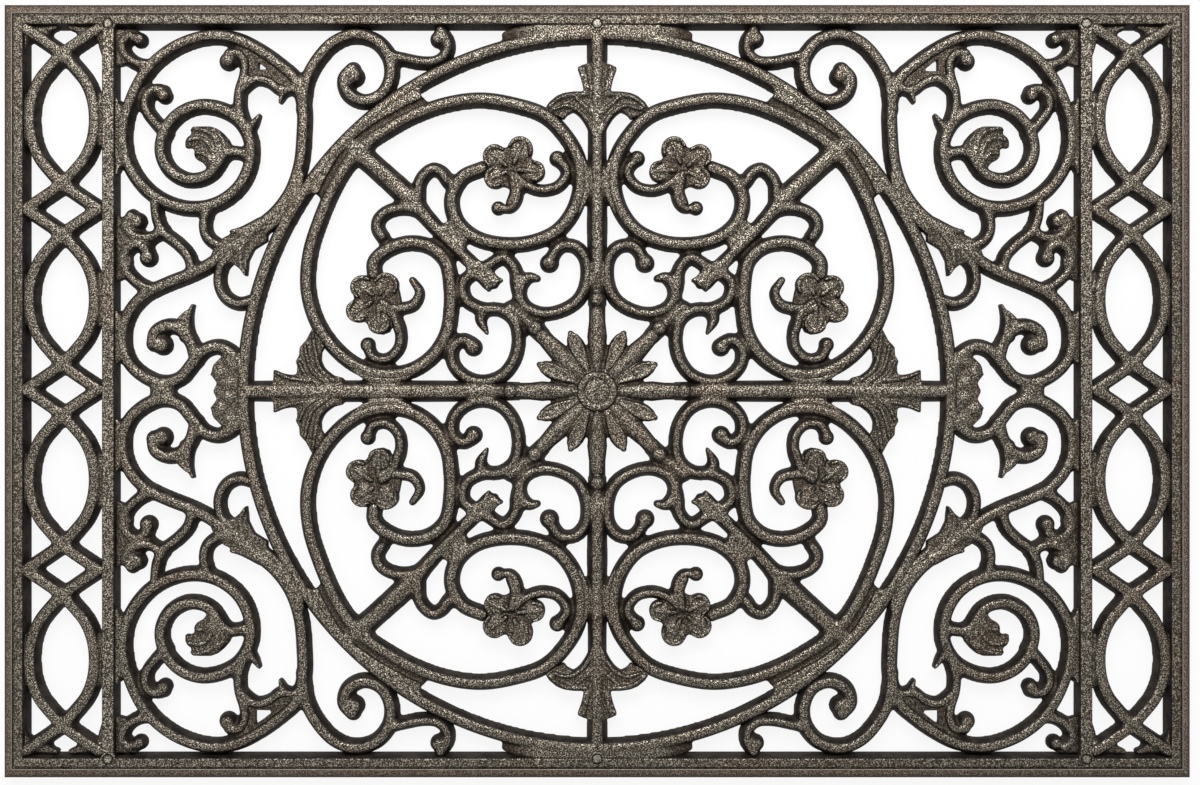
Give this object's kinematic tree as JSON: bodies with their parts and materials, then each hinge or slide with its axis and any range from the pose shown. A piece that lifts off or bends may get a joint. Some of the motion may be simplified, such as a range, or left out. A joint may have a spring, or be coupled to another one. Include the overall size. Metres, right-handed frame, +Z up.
{
  "type": "cast iron door mat",
  "caption": "Rectangular pierced cast iron door mat with a scrollwork medallion, latticed side borders and riveted rubber feet.",
  "frame": {"origin": "on the floor below the middle of the mat, at the underside of the feet", "axes": "+X along the length, +Y along the width, +Z up out of the tread side"},
  "size_m": [0.712, 0.464, 0.013],
  "materials": {
    "iron": "pebbled sand-cast skin with a worn bronze-brown coat, lighter on the crowns",
    "foot_rubber": "matt black moulded rubber",
    "rivet_steel": "dull, lightly brushed"
  },
  "bodies": {
    "root": {"upper_rail": "iron", "lower_rail": "iron", "left_rail": "iron", "right_rail": "iron", "right_divider_bar": "iron", "right_border_lattice": "iron", "right_side_scroll": "iron", "left_divider_bar": "iron", "left_border_lattice": "iron", "left_side_scroll": "iron", "medallion_ring": "iron", "centre_rosette": "iron", "upper_cross_arm": "iron", "lower_cross_arm": "iron", "right_cross_arm": "iron", "left_cross_arm": "iron", "upper_right_tracery": "iron", "upper_right_corner_scroll": "iron", "upper_left_tracery": "iron", "upper_left_corner_scroll": "iron", "lower_left_tracery": "iron", "lower_left_corner_scroll": "iron", "lower_right_tracery": "iron", "lower_right_corner_scroll": "iron", "lower_left_foot": "foot_rubber", "lower_middle_foot": "foot_rubber", "lower_right_foot": "foot_rubber", "upper_left_foot": "foot_rubber", "upper_middle_foot": "foot_rubber", "upper_right_foot": "foot_rubber", "lower_left_rivet": "rivet_steel", "lower_middle_rivet": "rivet_steel", "lower_right_rivet": "rivet_steel", "upper_left_rivet": "rivet_steel", "upper_middle_rivet": "rivet_steel", "upper_right_rivet": "rivet_steel"}
  },
  "joints": []
}
